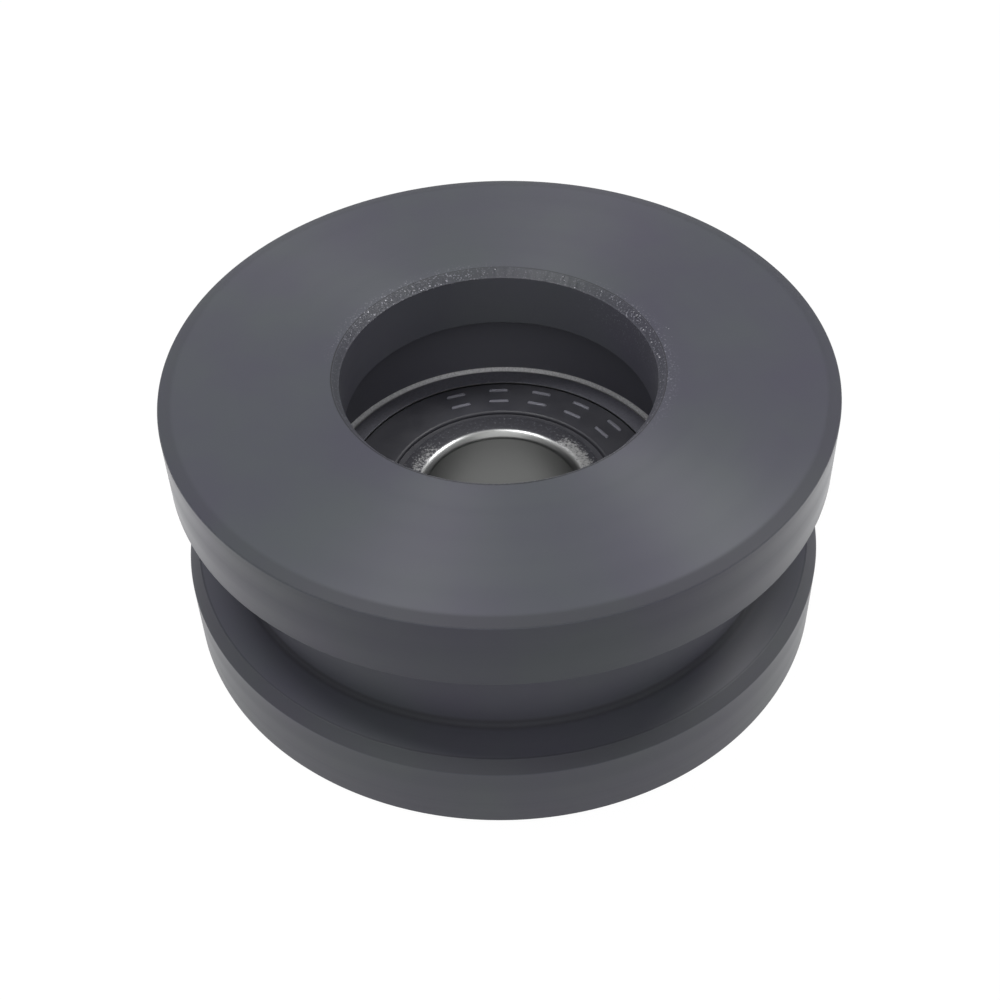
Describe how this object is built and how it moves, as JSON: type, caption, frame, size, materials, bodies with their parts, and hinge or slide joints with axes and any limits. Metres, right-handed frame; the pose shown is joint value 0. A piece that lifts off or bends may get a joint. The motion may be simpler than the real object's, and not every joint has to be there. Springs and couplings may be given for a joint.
{
  "type": "grooved wheel with ball bearing",
  "caption": "Black turned plastic wheel with a square groove round its rim and a sealed ball bearing pressed into its stepped hole, to run on a rail, tube or rope.",
  "frame": {"origin": "middle of the wheel, on its axis, half way between its two flat ends", "axes": "+Z along the axle, out of the end with the recess and its lip; X and Y across the wheel, with a ball of the bearing on +X"},
  "size_m": [0.07, 0.07, 0.03],
  "materials": {
    "black_plastic": "fine turned, satin",
    "bearing_steel": "ground",
    "ball_steel": "lapped, mirror",
    "cage_steel": "pressed strip, bright",
    "seal_rubber": "moulded, matt"
  },
  "bodies": {
    "hub": {"inner_ring": "bearing_steel"},
    "wheel": {"wheel_body": "black_plastic", "outer_ring": "bearing_steel", "seal_upper": "seal_rubber", "seal_lower": "seal_rubber"},
    "cage": {"cage_upper": "cage_steel", "cage_lower": "cage_steel", "cage_rivets": "cage_steel"},
    "rolling_ball_1": {"ball_1": "ball_steel"},
    "rolling_ball_2": {"ball_2": "ball_steel"},
    "rolling_ball_3": {"ball_3": "ball_steel"},
    "rolling_ball_4": {"ball_4": "ball_steel"},
    "rolling_ball_5": {"ball_5": "ball_steel"},
    "rolling_ball_6": {"ball_6": "ball_steel"},
    "rolling_ball_7": {"ball_7": "ball_steel"},
    "rolling_ball_8": {"ball_8": "ball_steel"}
  },
  "joints": [
    {"name": "wheel_spin", "type": "hinge", "parent": "hub", "child": "wheel", "pos_m": [0, 0, -0.0077], "axis": [0, 0, 1], "continuous": true},
    {"name": "cage_spin", "type": "hinge", "parent": "hub", "child": "cage", "pos_m": [0, 0, -0.0077], "axis": [0, 0, 1], "continuous": true},
    {"name": "ball_1_roll", "type": "hinge", "parent": "cage", "child": "rolling_ball_1", "pos_m": [0.01425, 0, -0.0077], "axis": [0, 0, 1], "continuous": true},
    {"name": "ball_2_roll", "type": "hinge", "parent": "cage", "child": "rolling_ball_2", "pos_m": [0.01008, 0.01008, -0.0077], "axis": [0, 0, 1], "continuous": true},
    {"name": "ball_3_roll", "type": "hinge", "parent": "cage", "child": "rolling_ball_3", "pos_m": [0, 0.01425, -0.0077], "axis": [0, 0, 1], "continuous": true},
    {"name": "ball_4_roll", "type": "hinge", "parent": "cage", "child": "rolling_ball_4", "pos_m": [-0.01008, 0.01008, -0.0077], "axis": [0, 0, 1], "continuous": true},
    {"name": "ball_5_roll", "type": "hinge", "parent": "cage", "child": "rolling_ball_5", "pos_m": [-0.01425, 0, -0.0077], "axis": [0, 0, 1], "continuous": true},
    {"name": "ball_6_roll", "type": "hinge", "parent": "cage", "child": "rolling_ball_6", "pos_m": [-0.01008, -0.01008, -0.0077], "axis": [0, 0, 1], "continuous": true},
    {"name": "ball_7_roll", "type": "hinge", "parent": "cage", "child": "rolling_ball_7", "pos_m": [0, -0.01425, -0.0077], "axis": [0, 0, 1], "continuous": true},
    {"name": "ball_8_roll", "type": "hinge", "parent": "cage", "child": "rolling_ball_8", "pos_m": [0.01008, -0.01008, -0.0077], "axis": [0, 0, 1], "continuous": true}
  ],
  "couplings": [
    {"joint": "cage_spin", "follows": "wheel_spin", "ratio": 0.61842},
    {"joint": "ball_1_roll", "follows": "wheel_spin", "ratio": 1.9927},
    {"joint": "ball_2_roll", "follows": "wheel_spin", "ratio": 1.9927},
    {"joint": "ball_3_roll", "follows": "wheel_spin", "ratio": 1.9927},
    {"joint": "ball_4_roll", "follows": "wheel_spin", "ratio": 1.9927},
    {"joint": "ball_5_roll", "follows": "wheel_spin", "ratio": 1.9927},
    {"joint": "ball_6_roll", "follows": "wheel_spin", "ratio": 1.9927},
    {"joint": "ball_7_roll", "follows": "wheel_spin", "ratio": 1.9927},
    {"joint": "ball_8_roll", "follows": "wheel_spin", "ratio": 1.9927}
  ]
}
